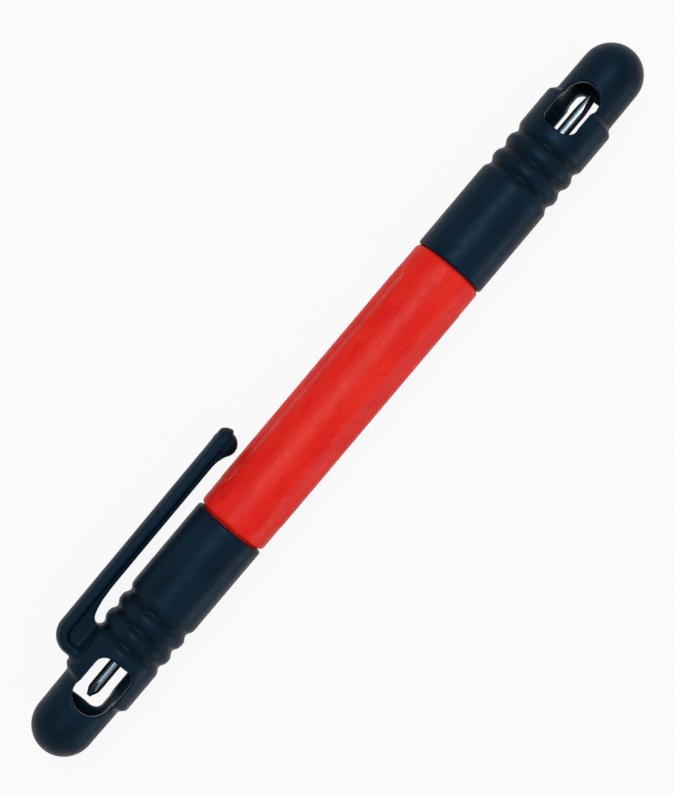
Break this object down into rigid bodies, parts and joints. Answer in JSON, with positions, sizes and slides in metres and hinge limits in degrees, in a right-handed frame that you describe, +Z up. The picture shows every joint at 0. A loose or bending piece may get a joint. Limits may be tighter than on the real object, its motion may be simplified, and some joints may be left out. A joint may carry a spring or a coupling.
{
  "type": "pocket screwdriver",
  "caption": "Slim pocket screwdriver: round plastic barrel with a double-ended bit in each end, under push-on caps with windows and a pocket clip.",
  "frame": {"origin": "bottom centre of the closed tool's bounding box, on the surface that it lies on", "axes": "+X along the tool, towards the plain cap; -X towards the clip cap; +Y towards the pocket clip; +Z up, square to the clip's plane"},
  "size_m": [0.15, 0.0183, 0.013],
  "materials": {
    "barrel_red": "satin moulded plastic with faint flow marks",
    "cap_black": "fine matt moulded plastic, bluish black",
    "bit_steel": "satin nickel-plated tool steel"
  },
  "bodies": {
    "barrel": {"barrel": "barrel_red"},
    "plain_cap": {"plain_cap": "cap_black"},
    "clip_cap": {"clip_cap": "cap_black"},
    "plain_end_bit": {"plain_end_bit": "bit_steel"},
    "clip_end_bit": {"clip_end_bit": "bit_steel"}
  },
  "joints": [
    {"name": "plain_cap_pull", "type": "slide", "parent": "barrel", "child": "plain_cap", "axis": [1, 0, 0], "range_m": [0, 0.08]},
    {"name": "clip_cap_pull", "type": "slide", "parent": "barrel", "child": "clip_cap", "axis": [-1, 0, 0], "range_m": [0, 0.08]},
    {"name": "plain_end_bit_draw", "type": "slide", "parent": "barrel", "child": "plain_end_bit", "axis": [1, 0, 0], "range_m": [0, 0.04]},
    {"name": "clip_end_bit_draw", "type": "slide", "parent": "barrel", "child": "clip_end_bit", "axis": [-1, 0, 0], "range_m": [0, 0.04]}
  ],
  "couplings": [
    {"joint": "plain_end_bit_draw", "follows": "plain_cap_pull", "ratio": 0.5},
    {"joint": "clip_end_bit_draw", "follows": "clip_cap_pull", "ratio": 0.5}
  ]
}
